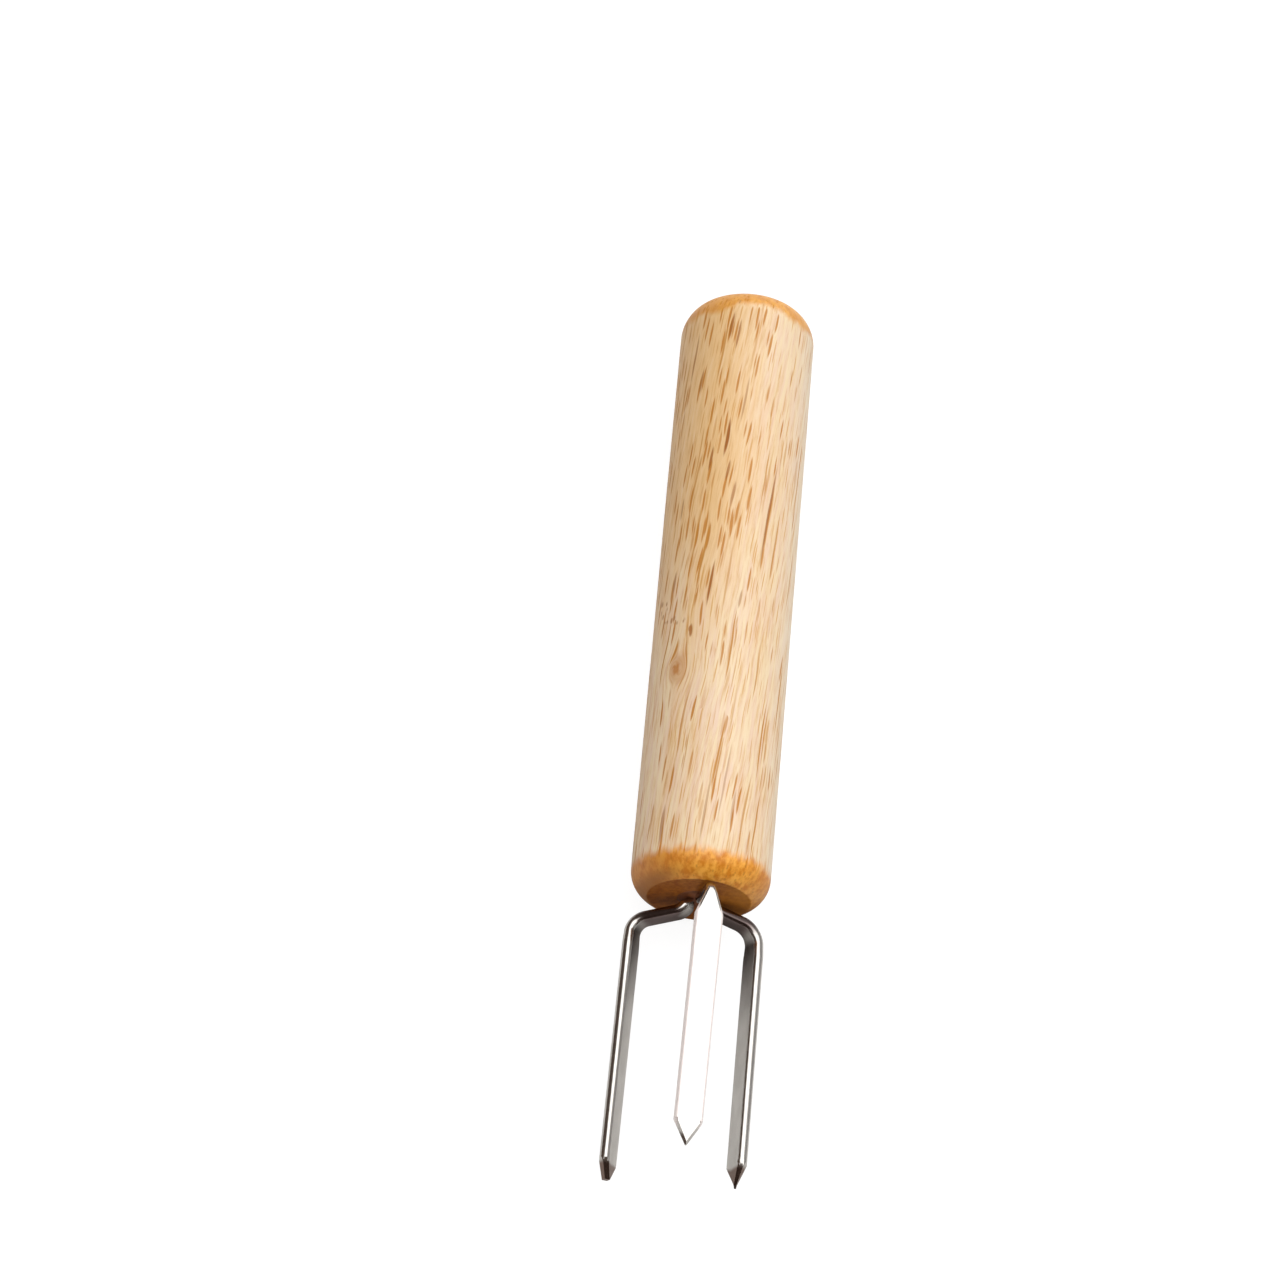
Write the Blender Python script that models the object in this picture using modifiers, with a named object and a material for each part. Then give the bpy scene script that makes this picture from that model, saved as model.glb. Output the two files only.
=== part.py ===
"""Three-tine fork: a turned wooden handle with three bent flat-wire tines glued into one blind bore.

The handle lies along Y with its front face towards -Y, where the tines point. +Z is up.
The origin is at the centre of the bottom of the fork's bounding box. Units are metres.
"""

import math

import bmesh
import bpy
from mathutils import Matrix, Vector

MM = 0.001

# Handle, turned from one piece of hardwood.
HANDLE_LENGTH = 96.2 * MM
HANDLE_RADIUS = 10.0 * MM
FRONT_FACE_RADIUS = 7.5 * MM
FRONT_ROUNDING = 4.2 * MM
BUTT_FACE_RADIUS = 5.5 * MM
BUTT_ROUNDING = 5.4 * MM
BORE_RADIUS = 2.9 * MM
BORE_DEPTH = 16.0 * MM
BORE_CHAMFER = 0.3 * MM
HANDLE_SIDES = 64
ROUNDING_STEPS = 6

# Tines, bent from wire that is round at the tang and arm and rolled flat beyond them.
STRIP_WIDTH = 4.0 * MM
STRIP_THICKNESS = 1.5 * MM
TANG_WIDTH = 1.2 * MM
TANG_THICKNESS = 1.2 * MM
TANG_OFFSET = 1.3 * MM
TANG_DEPTH = 14.0 * MM
TINE_CIRCLE_RADIUS = 9.6 * MM
NECK_START = 1.4 * MM
NECK_EDGE = 0.65 * MM
SHOULDER_LENGTH = 3.6 * MM
SECTION_POINTS = 16
BEND_STEP = math.radians(10)

# Each tine: its angle round the handle (0 is +X, 90 is straight up), how far it reaches past the
# handle's face, how much it splays outwards and leans sideways, in degrees, and the radius of the
# flat strip's edges. Its point is ground over a length to a width and a thickness. Its arm leaves the bore at
# arm_root in front of the face and turns forward again at arm_tip. The arm is as wide as the neck,
# and widens to the full strip from a shoulder that starts a distance before the second bend's end.
TINES = {
    "top_tine": {
        "angle": 88.8, "reach": 40.3 * MM, "splay": 0.1, "lean": 0.8, "edge": 0.5 * MM,
        "point": 3.3 * MM, "point_width": 0.25 * MM, "point_thickness": 0.5 * MM,
        "neck": 1.6 * MM, "shoulder": 0.8 * MM, "arm_root": 0.9 * MM, "arm_tip": 1.6 * MM,
        "root_bend": 2.0 * MM, "tip_bend": 1.8 * MM,
    },
    "left_tine": {
        "angle": 209.0, "reach": 41.7 * MM, "splay": 0.7, "lean": 0.0, "edge": 0.65 * MM,
        "point": 2.5 * MM, "point_width": 0.9 * MM, "point_thickness": 1.15 * MM,
        "neck": 3.1 * MM, "shoulder": 2.0 * MM, "arm_root": 1.5 * MM, "arm_tip": 2.8 * MM,
        "root_bend": 2.2 * MM, "tip_bend": 2.4 * MM,
    },
    "right_tine": {
        "angle": -20.0, "reach": 40.9 * MM, "splay": 0.15, "lean": 0.0, "edge": 0.65 * MM,
        "point": 3.2 * MM, "point_width": 0.25 * MM, "point_thickness": 0.35 * MM,
        "neck": 3.1 * MM, "shoulder": 2.0 * MM, "arm_root": 0.9 * MM, "arm_tip": 2.1 * MM,
        "root_bend": 2.2 * MM, "tip_bend": 3.0 * MM,
    },
}

# Adhesive that fills the bore round the tangs.
FIT_GAP = 0.3 * MM
GLUE_RECESS = 1.6 * MM

# Where the handle's front face sits, so that the origin is the bounding box's bottom centre.
LONGEST_REACH = max(tine["reach"] for tine in TINES.values())
FRONT_FACE_Y = (LONGEST_REACH - HANDLE_LENGTH) / 2
AXIS_HEIGHT = HANDLE_RADIUS

COLOURS = {
    "hardwood": ((0.78, 0.58, 0.36, 1.0), 0.45, 0.0),
    "steel": ((0.62, 0.61, 0.60, 1.0), 0.18, 1.0),
    "adhesive": ((0.30, 0.17, 0.07, 1.0), 0.35, 0.0),
}


def clear_scene():
    for old in list(bpy.data.objects):
        bpy.data.objects.remove(old)


def new_collection(name, parent):
    collection = bpy.data.collections.new(name)
    parent.children.link(collection)
    return collection


def new_material(name):
    colour, roughness, metallic = COLOURS[name]
    material = bpy.data.materials.new(name)
    material.use_nodes = True
    shader = material.node_tree.nodes["Principled BSDF"]
    shader.inputs["Base Color"].default_value = colour
    shader.inputs["Roughness"].default_value = roughness
    shader.inputs["Metallic"].default_value = metallic
    return material


def add_object(name, data, collection, material=None):
    made = bpy.data.objects.new(name, data)
    if material:
        data.materials.append(material)
    collection.objects.link(made)
    return made


def rounding(radius, face_radius, steps):
    """Points (distance from the end face, radius) of an arc from the end face to the full radius."""
    reach = math.acos((face_radius - HANDLE_RADIUS + radius) / radius)
    start = radius * math.sin(reach)
    angles = [reach * (1 - step / steps) for step in range(steps + 1)]
    return [
        (start - radius * math.sin(angle), HANDLE_RADIUS - radius + radius * math.cos(angle))
        for angle in angles
    ]


def turned_object(name, profile, collection, material=None):
    """Turns (radius, height) points, listed from top to bottom on the outer side, about Z."""
    mesh = bpy.data.meshes.new(name)
    points = [(radius, 0.0, height) for radius, height in profile]
    mesh.from_pydata(points, [(i, i + 1) for i in range(len(points) - 1)], [])
    made = add_object(name, mesh, collection, material)
    screw = made.modifiers.new("turn", "SCREW")
    screw.axis = "Z"
    screw.steps = HANDLE_SIDES
    screw.render_steps = HANDLE_SIDES
    screw.use_merge_vertices = True
    screw.merge_threshold = 0.00001
    screw.use_smooth_shade = True
    return made


def lay_along_handle(made):
    """Stands an object's +Z along +Y, from the front face, with flats on its four sides."""
    half_side = math.pi / HANDLE_SIDES
    tip_over = Matrix.Rotation(-math.pi / 2, 4, "X")
    made.rotation_euler = (tip_over @ Matrix.Rotation(half_side, 4, "Z")).to_euler()
    made.location = (0.0, FRONT_FACE_Y, AXIS_HEIGHT)


def make_handle(collection, material):
    # The sides are flats that lie on the real radius, so the corners stand slightly proud.
    corner = 1 / math.cos(math.pi / HANDLE_SIDES)
    profile = [(0.0, HANDLE_LENGTH)]
    for depth, radius in rounding(BUTT_ROUNDING, BUTT_FACE_RADIUS, ROUNDING_STEPS):
        profile.append((radius * corner, HANDLE_LENGTH - depth))
    for depth, radius in reversed(rounding(FRONT_ROUNDING, FRONT_FACE_RADIUS, ROUNDING_STEPS)):
        profile.append((radius * corner, depth))
    profile.append((BORE_RADIUS + BORE_CHAMFER, 0.0))
    profile.append((BORE_RADIUS, BORE_CHAMFER))
    profile.append((BORE_RADIUS, BORE_DEPTH))
    profile.append((0.0, BORE_DEPTH))
    handle = turned_object("wooden_handle", profile, collection, material)
    lay_along_handle(handle)
    return handle


def rounded_route(corners, bends):
    """A route along the corners, each inner one rounded by an arc of its bend radius."""
    route = [Vector(corners[0])]
    for i, bend in enumerate(bends, start=1):
        corner = Vector(corners[i])
        inward = (Vector(corners[i - 1]) - corner).normalized()
        onward = (Vector(corners[i + 1]) - corner).normalized()
        half = inward.angle(onward) / 2
        centre = corner + (inward + onward).normalized() * (bend / math.sin(half))
        start = corner + inward * (bend / math.tan(half)) - centre
        turn = math.copysign(math.pi - 2 * half, -inward.cross(onward))
        steps = max(2, math.ceil(abs(turn) / BEND_STEP))
        for step in range(steps + 1):
            swing = Matrix.Rotation(turn * step / steps, 2)
            route.append(centre + swing @ start)
    route.append(Vector(corners[-1]))
    return route


def tine_route(tine):
    """The middle of the wire: x runs forward from the handle's face, y outwards from its axis."""
    spread = math.tan(math.radians(tine["splay"])) * (tine["reach"] - tine["arm_tip"])
    return rounded_route(
        [
            (-TANG_DEPTH, TANG_OFFSET),
            (tine["arm_root"], TANG_OFFSET),
            (tine["arm_tip"], TINE_CIRCLE_RADIUS),
            (tine["reach"], TINE_CIRCLE_RADIUS + spread),
        ],
        [tine["root_bend"], tine["tip_bend"]],
    )


def blank_stations(route, tine):
    """(distance, width, thickness, edge radius) along the flat blank, from the tang to the point."""
    distances = [0.0]
    for before, after in zip(route, route[1:]):
        distances.append(distances[-1] + (after - before).length)
    bends, length = distances[1:-1], distances[-1]
    shoulder = bends[-1] - tine["shoulder"]
    stations = [
        (0.0, TANG_WIDTH, TANG_THICKNESS, NECK_EDGE),
        (bends[0], TANG_WIDTH, TANG_THICKNESS, NECK_EDGE),
        (bends[0] + NECK_START, tine["neck"], STRIP_THICKNESS, NECK_EDGE),
        (shoulder, tine["neck"], STRIP_THICKNESS, NECK_EDGE),
        (shoulder + SHOULDER_LENGTH, STRIP_WIDTH, STRIP_THICKNESS, tine["edge"]),
        (length - tine["point"], STRIP_WIDTH, STRIP_THICKNESS, tine["edge"]),
        (length, tine["point_width"], tine["point_thickness"], tine["edge"]),
    ]
    between = [section_between(stations, distance) for distance in bends[1:]]
    return sorted(stations + between)


def section_between(stations, distance):
    """The station where a bend's line falls between two others."""
    before = max(station for station in stations if station[0] < distance)
    after = min(station for station in stations if station[0] >= distance)
    grown = (distance - before[0]) / (after[0] - before[0])
    return tuple(low + (high - low) * grown for low, high in zip(before, after))


def section_point(turn, width, thickness, edge_radius):
    """A point of the wire's section, a rectangle with rounded corners, from a turn round it."""
    edge = min(edge_radius, width / 2, thickness / 2)
    thick, wide = math.sin(turn), math.cos(turn)
    return (
        math.copysign(thickness / 2 - edge, thick) + edge * thick,
        math.copysign(width / 2 - edge, wide) + edge * wide,
    )


def make_blank(name, stations):
    """The tine before bending: a straight blank along +X, lofted through its sections."""
    turns = [2 * math.pi * (i + 0.5) / SECTION_POINTS for i in range(SECTION_POINTS)]
    body = bmesh.new()
    rings = []
    for distance, width, thickness, edge_radius in stations:
        ring = [section_point(turn, width, thickness, edge_radius) for turn in turns]
        rings.append([body.verts.new((distance, thick, wide)) for thick, wide in ring])
    for before, after in zip(rings, rings[1:]):
        for i in range(SECTION_POINTS):
            body.faces.new((before[i - 1], before[i], after[i], after[i - 1]))
    body.faces.new(rings[0])
    body.faces.new(rings[-1])
    bmesh.ops.recalc_face_normals(body, faces=body.faces)
    mesh = bpy.data.meshes.new(name)
    body.to_mesh(mesh)
    body.free()
    return mesh


def tine_turn(tine):
    """Turns a tine's own x to point forward and its own y outwards from the handle's axis."""
    forward = Matrix.Rotation(-math.pi / 2, 4, "Z")
    turned = Matrix.Rotation(-math.radians(tine["angle"]), 4, "Y")
    leant = Matrix.Rotation(-math.radians(tine["lean"]), 4, "Y")
    return turned @ forward @ leant


def make_tine(name, tine, collection, guides, material):
    route = tine_route(tine)
    guide_data = bpy.data.curves.new(name + "_route", "CURVE")
    guide_data.dimensions = "2D"
    spline = guide_data.splines.new("POLY")
    spline.points.add(len(route) - 1)
    for point, place in zip(spline.points, route):
        point.co = (place.x, place.y, 0.0, 1.0)
    guide = add_object(name + "_route", guide_data, guides)
    guide.hide_render = True
    guide.display_type = "WIRE"

    blank = make_blank(name, blank_stations(route, tine))
    made = add_object(name, blank, collection, material)
    bend = made.modifiers.new("bend", "CURVE")
    bend.object = guide
    bend.deform_axis = "POS_X"
    for placed in (guide, made):
        placed.rotation_euler = tine_turn(tine).to_euler()
        placed.location = (0.0, FRONT_FACE_Y, AXIS_HEIGHT)
    made.data.shade_smooth()
    return made


def make_glue_plug(collection, cutters, material):
    radius = BORE_RADIUS - FIT_GAP
    profile = [
        (0.0, BORE_DEPTH - FIT_GAP),
        (radius, BORE_DEPTH - FIT_GAP),
        (radius, GLUE_RECESS),
        (0.0, GLUE_RECESS),
    ]
    plug = turned_object("glue_plug", profile, collection, material)
    lay_along_handle(plug)
    pocket_size = Vector(
        (TANG_DEPTH + 2 * FIT_GAP, TANG_THICKNESS + 2 * FIT_GAP, TANG_WIDTH + 2 * FIT_GAP)
    )
    for name, tine in TINES.items():
        mesh = bpy.data.meshes.new(name + "_pocket")
        body = bmesh.new()
        bmesh.ops.create_cube(body, size=1.0, matrix=Matrix.Diagonal((*pocket_size, 1.0)))
        body.to_mesh(mesh)
        body.free()
        pocket = add_object(name + "_pocket", mesh, cutters)
        pocket.hide_render = True
        pocket.display_type = "WIRE"
        place = tine_turn(tine) @ Matrix.Translation((-TANG_DEPTH / 2, TANG_OFFSET, 0.0))
        pocket.rotation_euler = place.to_euler()
        pocket.location = place.translation + Vector((0.0, FRONT_FACE_Y, AXIS_HEIGHT))
        cut = plug.modifiers.new("cut " + name, "BOOLEAN")
        cut.operation = "DIFFERENCE"
        cut.object = pocket
    return plug


def main():
    clear_scene()
    scene_root = bpy.context.scene.collection
    fork = new_collection("three_tine_fork", scene_root)
    guides = new_collection("guides_and_cutters", scene_root)
    hardwood, steel, adhesive = (new_material(name) for name in COLOURS)
    make_handle(fork, hardwood)
    for name, tine in TINES.items():
        make_tine(name, tine, fork, guides, steel)
    make_glue_plug(fork, guides, adhesive)


main()
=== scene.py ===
"""Looks of the three-tine fork: a turned, lacquered handle, polished flat-wire tines and glue.

Every mesh is made in the row's own frame, in metres, on an object at the origin. The handle lies
along Y with its front face towards -Y, and rests on the floor at Z = 0.
"""

import math

import bmesh
import bpy
from mathutils import Matrix, Vector, noise


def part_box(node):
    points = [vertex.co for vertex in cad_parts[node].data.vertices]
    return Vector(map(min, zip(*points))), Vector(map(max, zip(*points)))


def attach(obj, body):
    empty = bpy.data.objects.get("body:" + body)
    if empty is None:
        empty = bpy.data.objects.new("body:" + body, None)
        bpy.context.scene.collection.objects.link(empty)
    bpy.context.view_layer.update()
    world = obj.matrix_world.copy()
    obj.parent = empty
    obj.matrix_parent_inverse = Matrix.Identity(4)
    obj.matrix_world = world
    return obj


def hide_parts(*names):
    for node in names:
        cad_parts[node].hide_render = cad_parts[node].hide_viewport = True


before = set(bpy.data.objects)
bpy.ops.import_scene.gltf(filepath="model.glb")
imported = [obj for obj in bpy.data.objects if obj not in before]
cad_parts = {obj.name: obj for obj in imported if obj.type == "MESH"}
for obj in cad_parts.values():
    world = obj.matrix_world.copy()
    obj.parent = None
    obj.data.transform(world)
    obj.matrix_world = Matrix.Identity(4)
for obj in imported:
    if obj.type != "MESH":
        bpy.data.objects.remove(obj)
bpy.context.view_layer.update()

MM = 0.001

# Handle, as in the CAD model.
HANDLE_LENGTH = 96.2 * MM
HANDLE_RADIUS = 10.0 * MM
FRONT_FACE_RADIUS = 7.5 * MM
FRONT_ROUNDING = 4.2 * MM
BUTT_FACE_RADIUS = 5.5 * MM
BUTT_ROUNDING = 5.4 * MM
BORE_RADIUS = 2.9 * MM
BORE_DEPTH = 16.0 * MM
BORE_CHAMFER = 0.3 * MM

# How finely the handle is cut, and how sanding has worn it.
HANDLE_SIDES = 224
ROUNDING_STEPS = 20
BUTT_FACE_STEPS = 6
SIDE_STEPS = 110
FRONT_FACE_STEPS = 8
CHAMFER_STEPS = 2
BORE_STEPS = 8
HANDLE_SHARP_ANGLE = 22
WEAR_DEPTH = 0.03 * MM
WEAR_SIZE = 7.0 * MM

# Tines, as in the CAD model.
STRIP_WIDTH = 4.0 * MM
STRIP_THICKNESS = 1.5 * MM
TANG_WIDTH = 1.2 * MM
TANG_THICKNESS = 1.2 * MM
TANG_OFFSET = 1.3 * MM
TANG_DEPTH = 14.0 * MM
TINE_CIRCLE_RADIUS = 9.6 * MM
NECK_START = 1.4 * MM
NECK_EDGE = 0.65 * MM
SHOULDER_LENGTH = 3.6 * MM
TINES = {
    "top_tine": {
        "angle": 88.8, "reach": 40.3 * MM, "splay": 0.1, "lean": 0.8, "edge": 0.5 * MM,
        "point": 3.3 * MM, "point_width": 0.25 * MM, "point_thickness": 0.5 * MM,
        "neck": 1.6 * MM, "shoulder": 0.8 * MM, "arm_root": 0.9 * MM, "arm_tip": 1.6 * MM,
        "root_bend": 2.0 * MM, "tip_bend": 1.8 * MM,
    },
    "left_tine": {
        "angle": 209.0, "reach": 41.7 * MM, "splay": 0.7, "lean": 0.0, "edge": 0.65 * MM,
        "point": 2.5 * MM, "point_width": 0.9 * MM, "point_thickness": 1.15 * MM,
        "neck": 3.1 * MM, "shoulder": 2.0 * MM, "arm_root": 1.5 * MM, "arm_tip": 2.8 * MM,
        "root_bend": 2.2 * MM, "tip_bend": 2.4 * MM,
    },
    "right_tine": {
        "angle": -20.0, "reach": 40.9 * MM, "splay": 0.15, "lean": 0.0, "edge": 0.65 * MM,
        "point": 3.2 * MM, "point_width": 0.25 * MM, "point_thickness": 0.35 * MM,
        "neck": 3.1 * MM, "shoulder": 2.0 * MM, "arm_root": 0.9 * MM, "arm_tip": 2.1 * MM,
        "root_bend": 2.2 * MM, "tip_bend": 3.0 * MM,
    },
}

# How finely the wire is cut. The grinding starts and is complete at distances from the tip that
# are given in lengths of the ground point.
BEND_STEP = math.radians(4)
ROUTE_STEP = 0.45 * MM
CORNER_STEPS = 8
BEVEL_WIDTH = 0.4 * MM
GRIND_START = 1.06
GRIND_FULL = 0.97
TINE_SHARP_ANGLE = 24
MERGE_DISTANCE = 0.0001 * MM

# Glue, which fills the bore almost to the handle's face.
GLUE_GAP = 0.02 * MM
GLUE_CENTRE_DEPTH = 0.12 * MM
GLUE_WALL_DEPTH = 0.05 * MM
GLUE_SIDES = 72
GLUE_STEPS = 10
GLUE_DISH_POWER = 3
GLUE_SHARP_ANGLE = 40

# The frame says where the handle's front face and axis are.
handle_low, handle_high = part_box("wooden_handle")
FRONT_FACE_Y = handle_low.y
AXIS_HEIGHT = (handle_low.z + handle_high.z) / 2


# ---------------------------------------------------------------------------------------------
# Pieces


def add_piece(name, mesh, material, node):
    made = bpy.data.objects.new(name, mesh)
    mesh.materials.append(material)
    bpy.context.scene.collection.objects.link(made)
    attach(made, "root")
    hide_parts(node)
    return made


def finished_mesh(name, body, sharp_angle):
    """A smooth-shaded mesh of a bmesh body, with its creases kept sharp."""
    bmesh.ops.recalc_face_normals(body, faces=body.faces)
    mesh = bpy.data.meshes.new(name)
    body.to_mesh(mesh)
    body.free()
    mesh.shade_smooth()
    mesh.set_sharp_from_angle(angle=math.radians(sharp_angle))
    return mesh


def rounding(radius, face_radius):
    """Points (distance from the end face, radius) of the arc from the end face to the side."""
    reach = math.acos((face_radius - HANDLE_RADIUS + radius) / radius)
    start = radius * math.sin(reach)
    angles = [reach * (1 - step / ROUNDING_STEPS) for step in range(ROUNDING_STEPS + 1)]
    return [
        (start - radius * math.sin(angle), HANDLE_RADIUS - radius + radius * math.cos(angle))
        for angle in angles
    ]


def turned_body(profile, sides, wear=0.0):
    """Turns (distance from the front face, radius) points about the handle's axis.

    The first and last points lie on the axis. Wear is the most that the surface is worn in.
    """
    body = bmesh.new()
    rings = []
    for along, radius in profile:
        centre = Vector((0.0, FRONT_FACE_Y + along, AXIS_HEIGHT))
        if radius == 0.0:
            rings.append([body.verts.new(centre)])
            continue
        ring = []
        for side in range(sides):
            turn = 2 * math.pi * side / sides
            outward = Vector((math.cos(turn), 0.0, math.sin(turn)))
            place = centre + outward * radius
            worn = wear * (0.5 + 0.5 * noise.noise(place / WEAR_SIZE))
            ring.append(body.verts.new(place - outward * worn))
        rings.append(ring)
    for before, after in zip(rings, rings[1:]):
        for side in range(sides):
            ahead = (side + 1) % sides
            if len(before) == 1:
                body.faces.new((before[0], after[side], after[ahead]))
            elif len(after) == 1:
                body.faces.new((before[side], after[0], before[ahead]))
            else:
                body.faces.new((before[side], after[side], after[ahead], before[ahead]))
    return body


def between(start, end, steps):
    """Steps from one (along, radius) point to the next, without the first."""
    return [
        tuple(a + (b - a) * step / steps for a, b in zip(start, end))
        for step in range(1, steps + 1)
    ]


def handle_profile():
    """From the butt's centre, along the outside, over the front face and down the bore."""
    butt = [
        (HANDLE_LENGTH - depth, radius)
        for depth, radius in rounding(BUTT_ROUNDING, BUTT_FACE_RADIUS)
    ]
    front = list(reversed(rounding(FRONT_ROUNDING, FRONT_FACE_RADIUS)))
    mouth = (0.0, BORE_RADIUS + BORE_CHAMFER)
    bore = (BORE_CHAMFER, BORE_RADIUS)
    profile = [(HANDLE_LENGTH, 0.0)]
    profile += between((HANDLE_LENGTH, 0.0), butt[0], BUTT_FACE_STEPS)
    profile += butt[1:]
    profile += between(butt[-1], front[0], SIDE_STEPS)
    profile += front[1:]
    profile += between(front[-1], mouth, FRONT_FACE_STEPS)
    profile += between(mouth, bore, CHAMFER_STEPS)
    profile += between(bore, (BORE_DEPTH, BORE_RADIUS), BORE_STEPS)
    profile.append((BORE_DEPTH, 0.0))
    return profile


def make_handle(material):
    body = turned_body(handle_profile(), HANDLE_SIDES, WEAR_DEPTH)
    mesh = finished_mesh("handle_turned", body, HANDLE_SHARP_ANGLE)
    return add_piece("handle_turned", mesh, material, "wooden_handle")


def rounded_route(corners, bends):
    """A route along the corners, each inner one rounded by an arc of its bend radius."""
    route = [Vector(corners[0])]
    for i, bend in enumerate(bends, start=1):
        corner = Vector(corners[i])
        inward = (Vector(corners[i - 1]) - corner).normalized()
        onward = (Vector(corners[i + 1]) - corner).normalized()
        half = inward.angle(onward) / 2
        centre = corner + (inward + onward).normalized() * (bend / math.sin(half))
        start = corner + inward * (bend / math.tan(half)) - centre
        turn = math.copysign(math.pi - 2 * half, -inward.cross(onward))
        steps = max(2, math.ceil(abs(turn) / BEND_STEP))
        for step in range(steps + 1):
            swing = Matrix.Rotation(turn * step / steps, 2)
            route.append(centre + swing @ start)
    route.append(Vector(corners[-1]))
    return route


def tine_route(tine):
    """The middle of the wire: x runs forward from the handle's face, y outwards from its axis."""
    spread = math.tan(math.radians(tine["splay"])) * (tine["reach"] - tine["arm_tip"])
    return rounded_route(
        [
            (-TANG_DEPTH, TANG_OFFSET),
            (tine["arm_root"], TANG_OFFSET),
            (tine["arm_tip"], TINE_CIRCLE_RADIUS),
            (tine["reach"], TINE_CIRCLE_RADIUS + spread),
        ],
        [tine["root_bend"], tine["tip_bend"]],
    )


def route_length(route):
    return sum((after - before).length for before, after in zip(route, route[1:]))


def cut_finely(route, step):
    """The same route with points added so that none are further apart than step."""
    fine = [route[0]]
    for before, after in zip(route, route[1:]):
        parts = max(1, math.ceil((after - before).length / step))
        fine += [before.lerp(after, part / parts) for part in range(1, parts + 1)]
    return fine


def share_of(value, low, high):
    return min(1.0, max(0.0, (value - low) / (high - low)))


def eased(value, low, high):
    share = share_of(value, low, high)
    return share * share * (3 - 2 * share)


def strip_size(tine, distance, bends, length):
    """(width, thickness, edge radius, share of the full grinding) of the wire at a distance."""
    in_bore = eased(distance, bends[0], bends[0] + NECK_START)
    shoulder = bends[1] - tine["shoulder"]
    widened = share_of(distance, shoulder, shoulder + SHOULDER_LENGTH)
    width = TANG_WIDTH + (tine["neck"] - TANG_WIDTH) * in_bore
    width += (STRIP_WIDTH - tine["neck"]) * widened
    thickness = TANG_THICKNESS + (STRIP_THICKNESS - TANG_THICKNESS) * in_bore
    edge_radius = NECK_EDGE + (tine["edge"] - NECK_EDGE) * widened
    to_tip = (length - distance) / tine["point"]
    ground = eased(to_tip, GRIND_START, GRIND_FULL)
    if to_tip < 1.0:
        width = tine["point_width"] + (STRIP_WIDTH - tine["point_width"]) * to_tip
        thickness = tine["point_thickness"] + (STRIP_THICKNESS - tine["point_thickness"]) * to_tip
    return width, thickness, edge_radius, ground


def strip_section(width, thickness, edge_radius, ground):
    """(thick, wide) points round the wire: rounded corners that grinding turns into bevels."""
    edge = min(edge_radius, width / 2, thickness / 2)
    bevel = min(BEVEL_WIDTH, width / 2)
    corner = []
    for step in range(CORNER_STEPS + 1):
        share = step / CORNER_STEPS
        turn = share * math.pi / 2
        round_thick = thickness / 2 - edge + edge * math.sin(turn)
        round_wide = width / 2 - edge + edge * math.cos(turn)
        flat_thick = thickness / 2 * share
        flat_wide = width / 2 - bevel * share
        corner.append((
            round_thick + (flat_thick - round_thick) * ground,
            round_wide + (flat_wide - round_wide) * ground,
        ))
    points = list(corner)
    points += [(thick, -wide) for thick, wide in reversed(corner)]
    points += [(-thick, -wide) for thick, wide in corner]
    points += [(-thick, wide) for thick, wide in reversed(corner)]
    return points


def tine_turn(tine):
    """Turns a tine's own x to point forward and its own y outwards from the handle's axis."""
    forward = Matrix.Rotation(-math.pi / 2, 4, "Z")
    turned = Matrix.Rotation(-math.radians(tine["angle"]), 4, "Y")
    leant = Matrix.Rotation(-math.radians(tine["lean"]), 4, "Y")
    return turned @ forward @ leant


def bent_tine(name, tine, grown=0.0):
    """The bent wire's mesh.

    Its attribute "flat" keeps each point's place on the straight wire. The first value of "tip" is
    the distance from the tip, in lengths of the ground point.
    """
    coarse = tine_route(tine)
    length = route_length(coarse)
    distances = [0.0]
    for before, after in zip(coarse, coarse[1:]):
        distances.append(distances[-1] + (after - before).length)
    turns = len(coarse) - 2
    bends = (distances[1], distances[turns])
    place = Matrix.Translation((0.0, FRONT_FACE_Y, AXIS_HEIGHT)) @ tine_turn(tine)
    route = cut_finely(coarse, ROUTE_STEP)
    body = bmesh.new()
    flat = body.verts.layers.float_vector.new("flat")
    tip = body.verts.layers.float_vector.new("tip")
    rings = []
    distance = 0.0
    for i, centre in enumerate(route):
        before, after = route[max(0, i - 1)], route[min(len(route) - 1, i + 1)]
        distance += (centre - before).length
        ahead = (after - before).normalized()
        outward = Vector((-ahead.y, ahead.x))
        width, thickness, edge_radius, ground = strip_size(tine, distance, bends, length)
        ring = []
        section = strip_section(width + 2 * grown, thickness + 2 * grown, edge_radius, ground)
        for thick, wide in section:
            spot = centre + outward * thick
            vert = body.verts.new(place @ Vector((spot.x, spot.y, wide)))
            vert[flat] = (distance, wide, thick)
            vert[tip] = ((length - distance) / tine["point"], 0.0, 0.0)
            ring.append(vert)
        rings.append(ring)
    for before, after in zip(rings, rings[1:]):
        for i in range(len(before)):
            body.faces.new((before[i - 1], before[i], after[i], after[i - 1]))
    body.faces.new(rings[0])
    body.faces.new(rings[-1])
    bmesh.ops.remove_doubles(body, verts=body.verts, dist=MERGE_DISTANCE)
    return finished_mesh(name, body, TINE_SHARP_ANGLE)


def make_tines(materials):
    """Each tine in its own material. Returns the objects."""
    return [
        add_piece(name + "_bent", bent_tine(name + "_bent", tine), materials[name], name)
        for name, tine in TINES.items()
    ]


def carve(piece, cutter):
    """Cuts one object's shape out of a piece and removes the cutter."""
    cut = piece.modifiers.new("cut", "BOOLEAN")
    cut.operation = "DIFFERENCE"
    cut.object = cutter
    bpy.context.view_layer.update()
    graph = bpy.context.evaluated_depsgraph_get()
    carved = bpy.data.meshes.new_from_object(piece.evaluated_get(graph))
    piece.modifiers.clear()
    piece.data = carved
    bpy.data.objects.remove(cutter)


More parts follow.
